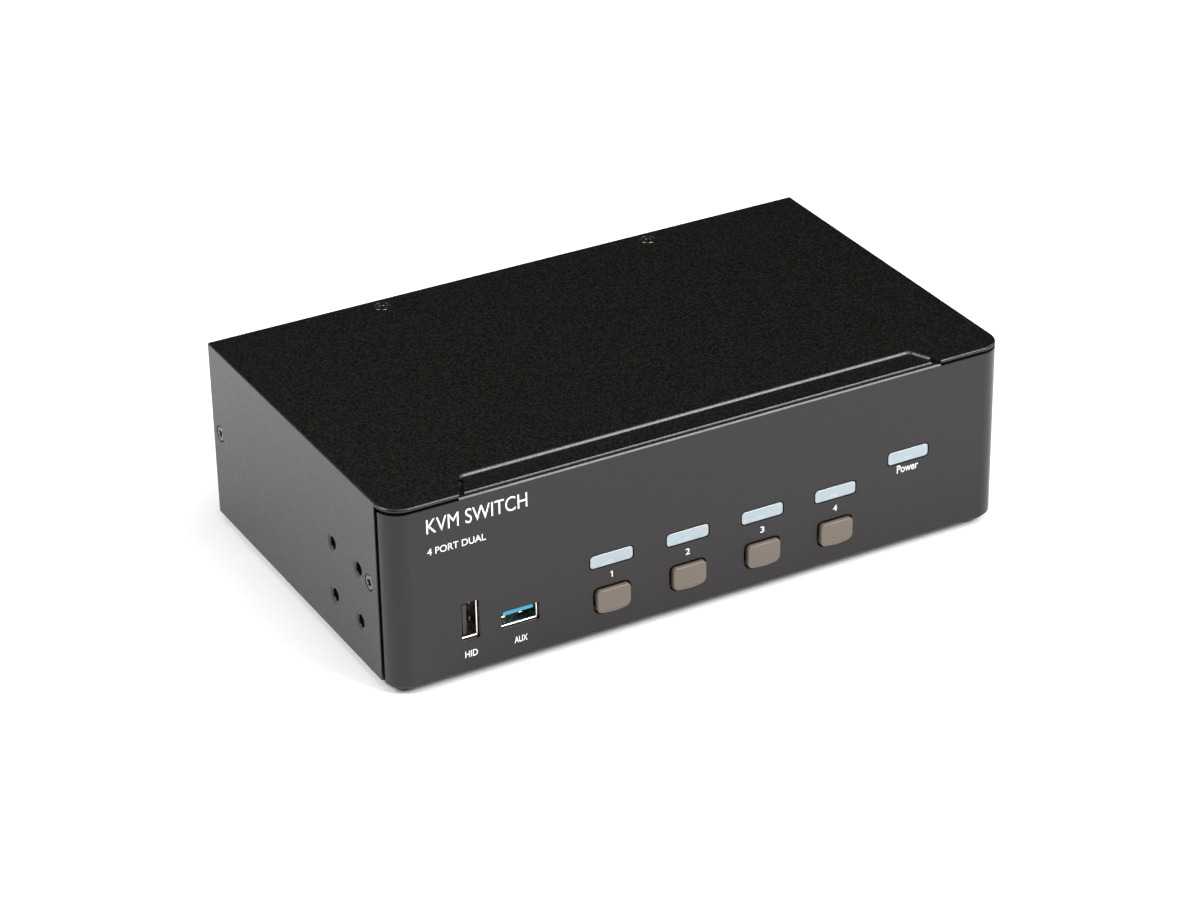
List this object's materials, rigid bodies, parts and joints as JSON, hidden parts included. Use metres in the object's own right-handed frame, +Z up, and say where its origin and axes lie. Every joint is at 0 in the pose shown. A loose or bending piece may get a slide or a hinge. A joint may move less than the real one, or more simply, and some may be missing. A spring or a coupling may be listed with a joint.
{
  "type": "kvm switch",
  "caption": "Desktop KVM switch: folded black steel cover over a chassis, moulded front bezel with push buttons, light windows and front sockets, rear panel of connectors.",
  "frame": {"origin": "on the surface the rubber feet stand on, under the middle of the object's bounding box, which is also the middle of the case", "axes": "+X to the right seen from the front, +Y from the front bezel to the rear panel, +Z up"},
  "size_m": [0.236, 0.1432, 0.0698],
  "materials": {
    "black_paint": "fine-textured matt black powder coat on folded steel sheet",
    "bezel_plastic": "smooth dark grey moulding with a very fine satin grain",
    "chassis_paint": "black powder-coated steel chassis",
    "black_screw": "black oxide countersunk cross-head screws",
    "foot_rubber": "black rubber",
    "button_plastic": "taupe satin moulding",
    "window_plastic": "milky pale blue light pipe",
    "port_metal": "bright nickel-plated steel shell",
    "blue_plastic": "blue moulding",
    "black_plastic": "black moulding",
    "board_green": "green solder-masked circuit board"
  },
  "bodies": {
    "case": {"top_cover": "black_paint", "front_bezel": "bezel_plastic", "base_chassis": "chassis_paint", "rear_panel": "chassis_paint", "foot_front_left": "foot_rubber", "foot_front_right": "foot_rubber", "foot_back_left": "foot_rubber", "foot_back_right": "foot_rubber", "top_screw_left": "black_screw", "top_screw_right": "black_screw", "side_screw_left_front": "black_screw", "side_screw_left_rear": "black_screw", "side_screw_right_front": "black_screw", "side_screw_right_rear": "black_screw", "main_board": "board_green", "video_board": "board_green", "front_board": "board_green", "board_link": "black_plastic", "switch_housing_1": "black_plastic", "switch_housing_2": "black_plastic", "switch_housing_3": "black_plastic", "switch_housing_4": "black_plastic", "indicator_1": "window_plastic", "indicator_2": "window_plastic", "indicator_3": "window_plastic", "indicator_4": "window_plastic", "power_indicator": "window_plastic", "hid_port_shell": "port_metal", "usb_port_shell": "port_metal", "console_ports": "port_metal", "video_port_1": "port_metal", "video_port_2": "port_metal", "video_port_3": "port_metal", "video_port_4": "port_metal", "video_port_5": "port_metal", "video_port_6": "port_metal", "video_port_7": "port_metal", "video_port_8": "port_metal", "video_port_9": "port_metal", "video_port_10": "port_metal", "computer_port_1": "port_metal", "computer_port_2": "port_metal", "computer_port_3": "port_metal", "computer_port_4": "port_metal", "hid_port_tongue": "black_plastic", "power_jack": "black_plastic", "audio_jacks_1": "black_plastic", "audio_jacks_2": "black_plastic", "audio_jacks_3": "black_plastic", "audio_jacks_4": "black_plastic", "audio_jacks_5": "black_plastic", "usb_port_tongue": "blue_plastic"},
    "button_1": {"button_1": "button_plastic", "switch_plunger_1": "black_plastic"},
    "button_2": {"button_2": "button_plastic", "switch_plunger_2": "black_plastic"},
    "button_3": {"button_3": "button_plastic", "switch_plunger_3": "black_plastic"},
    "button_4": {"button_4": "button_plastic", "switch_plunger_4": "black_plastic"}
  },
  "joints": [
    {"name": "button_1_press", "type": "slide", "parent": "case", "child": "button_1", "axis": [0, 1, 0], "range_m": [0, 0.0005], "stiffness_N_per_m": 1500},
    {"name": "button_2_press", "type": "slide", "parent": "case", "child": "button_2", "axis": [0, 1, 0], "range_m": [0, 0.0005], "stiffness_N_per_m": 1500},
    {"name": "button_3_press", "type": "slide", "parent": "case", "child": "button_3", "axis": [0, 1, 0], "range_m": [0, 0.0005], "stiffness_N_per_m": 1500},
    {"name": "button_4_press", "type": "slide", "parent": "case", "child": "button_4", "axis": [0, 1, 0], "range_m": [0, 0.0005], "stiffness_N_per_m": 1500}
  ]
}
